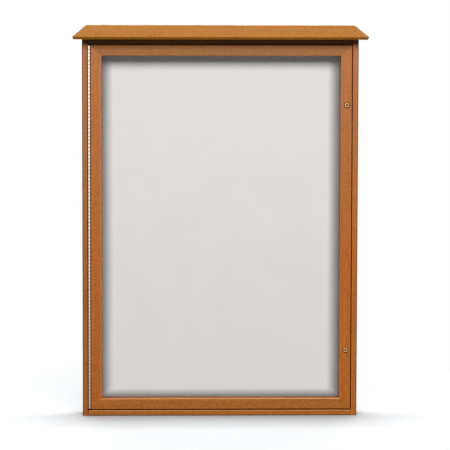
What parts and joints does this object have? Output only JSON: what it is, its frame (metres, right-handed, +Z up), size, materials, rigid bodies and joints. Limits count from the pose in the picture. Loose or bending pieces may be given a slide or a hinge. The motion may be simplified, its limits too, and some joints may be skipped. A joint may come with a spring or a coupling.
{
  "type": "lockable notice board",
  "caption": "Wall-hung outdoor notice board: a shallow plastic lumber case under a hipped roof cap, with a tack panel behind a glazed, piano-hinged door that locks with cam locks.",
  "frame": {"origin": "middle of the rear face of the back panel, which lies against the wall", "axes": "+X to the right seen from the front, +Y into the wall, +Z up; the door faces -Y"},
  "size_m": [0.9948, 0.1397, 1.3259],
  "materials": {
    "case_lumber": "cedar-coloured plastic lumber with fine brushed grain",
    "roof_lumber": "cedar-coloured plastic lumber with fine brushed grain",
    "door_lumber": "cedar-coloured plastic lumber with fine brushed grain",
    "back_sheet": "textured plastic sheet",
    "tack_panel": "pale woven covering",
    "clear_pane": "clear polycarbonate sheet",
    "seal_rubber": "matt black foam rubber",
    "hinge_metal": "satin, lightly brushed",
    "pin_steel": "drawn stainless wire",
    "lock_brass": "turned and lightly polished",
    "lock_steel": "zinc-plated",
    "screw_steel": "stainless"
  },
  "bodies": {
    "case": {"side_board_left": "case_lumber", "side_board_right": "case_lumber", "head_board": "case_lumber", "sill_board": "case_lumber", "roof_cap": "roof_lumber", "back_panel": "back_sheet", "tack_board": "tack_panel", "liner_strip_left": "case_lumber", "liner_strip_top": "case_lumber", "liner_strip_right": "case_lumber", "liner_strip_bottom": "case_lumber", "seal_left": "seal_rubber", "seal_top": "seal_rubber", "seal_bottom": "seal_rubber", "seal_right_upper": "seal_rubber", "seal_right_middle": "seal_rubber", "seal_right_lower": "seal_rubber", "hinge_leaf_case": "hinge_metal", "hinge_pin": "pin_steel", "case_screw_1": "screw_steel", "case_screw_2": "screw_steel", "case_screw_3": "screw_steel", "case_screw_4": "screw_steel", "case_screw_5": "screw_steel", "case_screw_6": "screw_steel", "case_screw_7": "screw_steel", "case_screw_8": "screw_steel", "roof_screw_1": "screw_steel", "roof_screw_2": "screw_steel", "roof_screw_3": "screw_steel", "panel_screw_1": "screw_steel", "panel_screw_2": "screw_steel", "panel_screw_3": "screw_steel", "panel_screw_4": "screw_steel"},
    "door": {"door_stile_hinge_side": "door_lumber", "door_stile_lock_side": "door_lumber", "door_rail_top": "door_lumber", "door_rail_bottom": "door_lumber", "window_pane": "clear_pane", "glazing_gasket": "seal_rubber", "glazing_bead_left": "door_lumber", "glazing_bead_top": "door_lumber", "glazing_bead_right": "door_lumber", "glazing_bead_bottom": "door_lumber", "hinge_leaf_door": "hinge_metal", "upper_lock_housing": "lock_brass", "upper_lock_nut": "lock_steel", "lower_lock_housing": "lock_brass", "lower_lock_nut": "lock_steel", "door_screw_1": "screw_steel", "door_screw_2": "screw_steel", "door_screw_3": "screw_steel", "door_screw_4": "screw_steel"},
    "upper_lock": {"upper_lock_plug": "lock_brass", "upper_lock_cam": "lock_steel", "upper_lock_cam_screw": "lock_steel"},
    "lower_lock": {"lower_lock_plug": "lock_brass", "lower_lock_cam": "lock_steel", "lower_lock_cam_screw": "lock_steel"}
  },
  "joints": [
    {"name": "door_hinge", "type": "hinge", "parent": "case", "child": "door", "pos_m": [-0.4426, -0.0899, 0.00232], "axis": [0, 0, -1], "range_deg": [0, 175]},
    {"name": "upper_lock_turn", "type": "hinge", "parent": "door", "child": "upper_lock", "pos_m": [0.4276, -0.0889, 0.41883], "axis": [0, -1, 0], "range_deg": [0, 90]},
    {"name": "lower_lock_turn", "type": "hinge", "parent": "door", "child": "lower_lock", "pos_m": [0.4276, -0.0889, -0.41418], "axis": [0, -1, 0], "range_deg": [0, 90]}
  ]
}
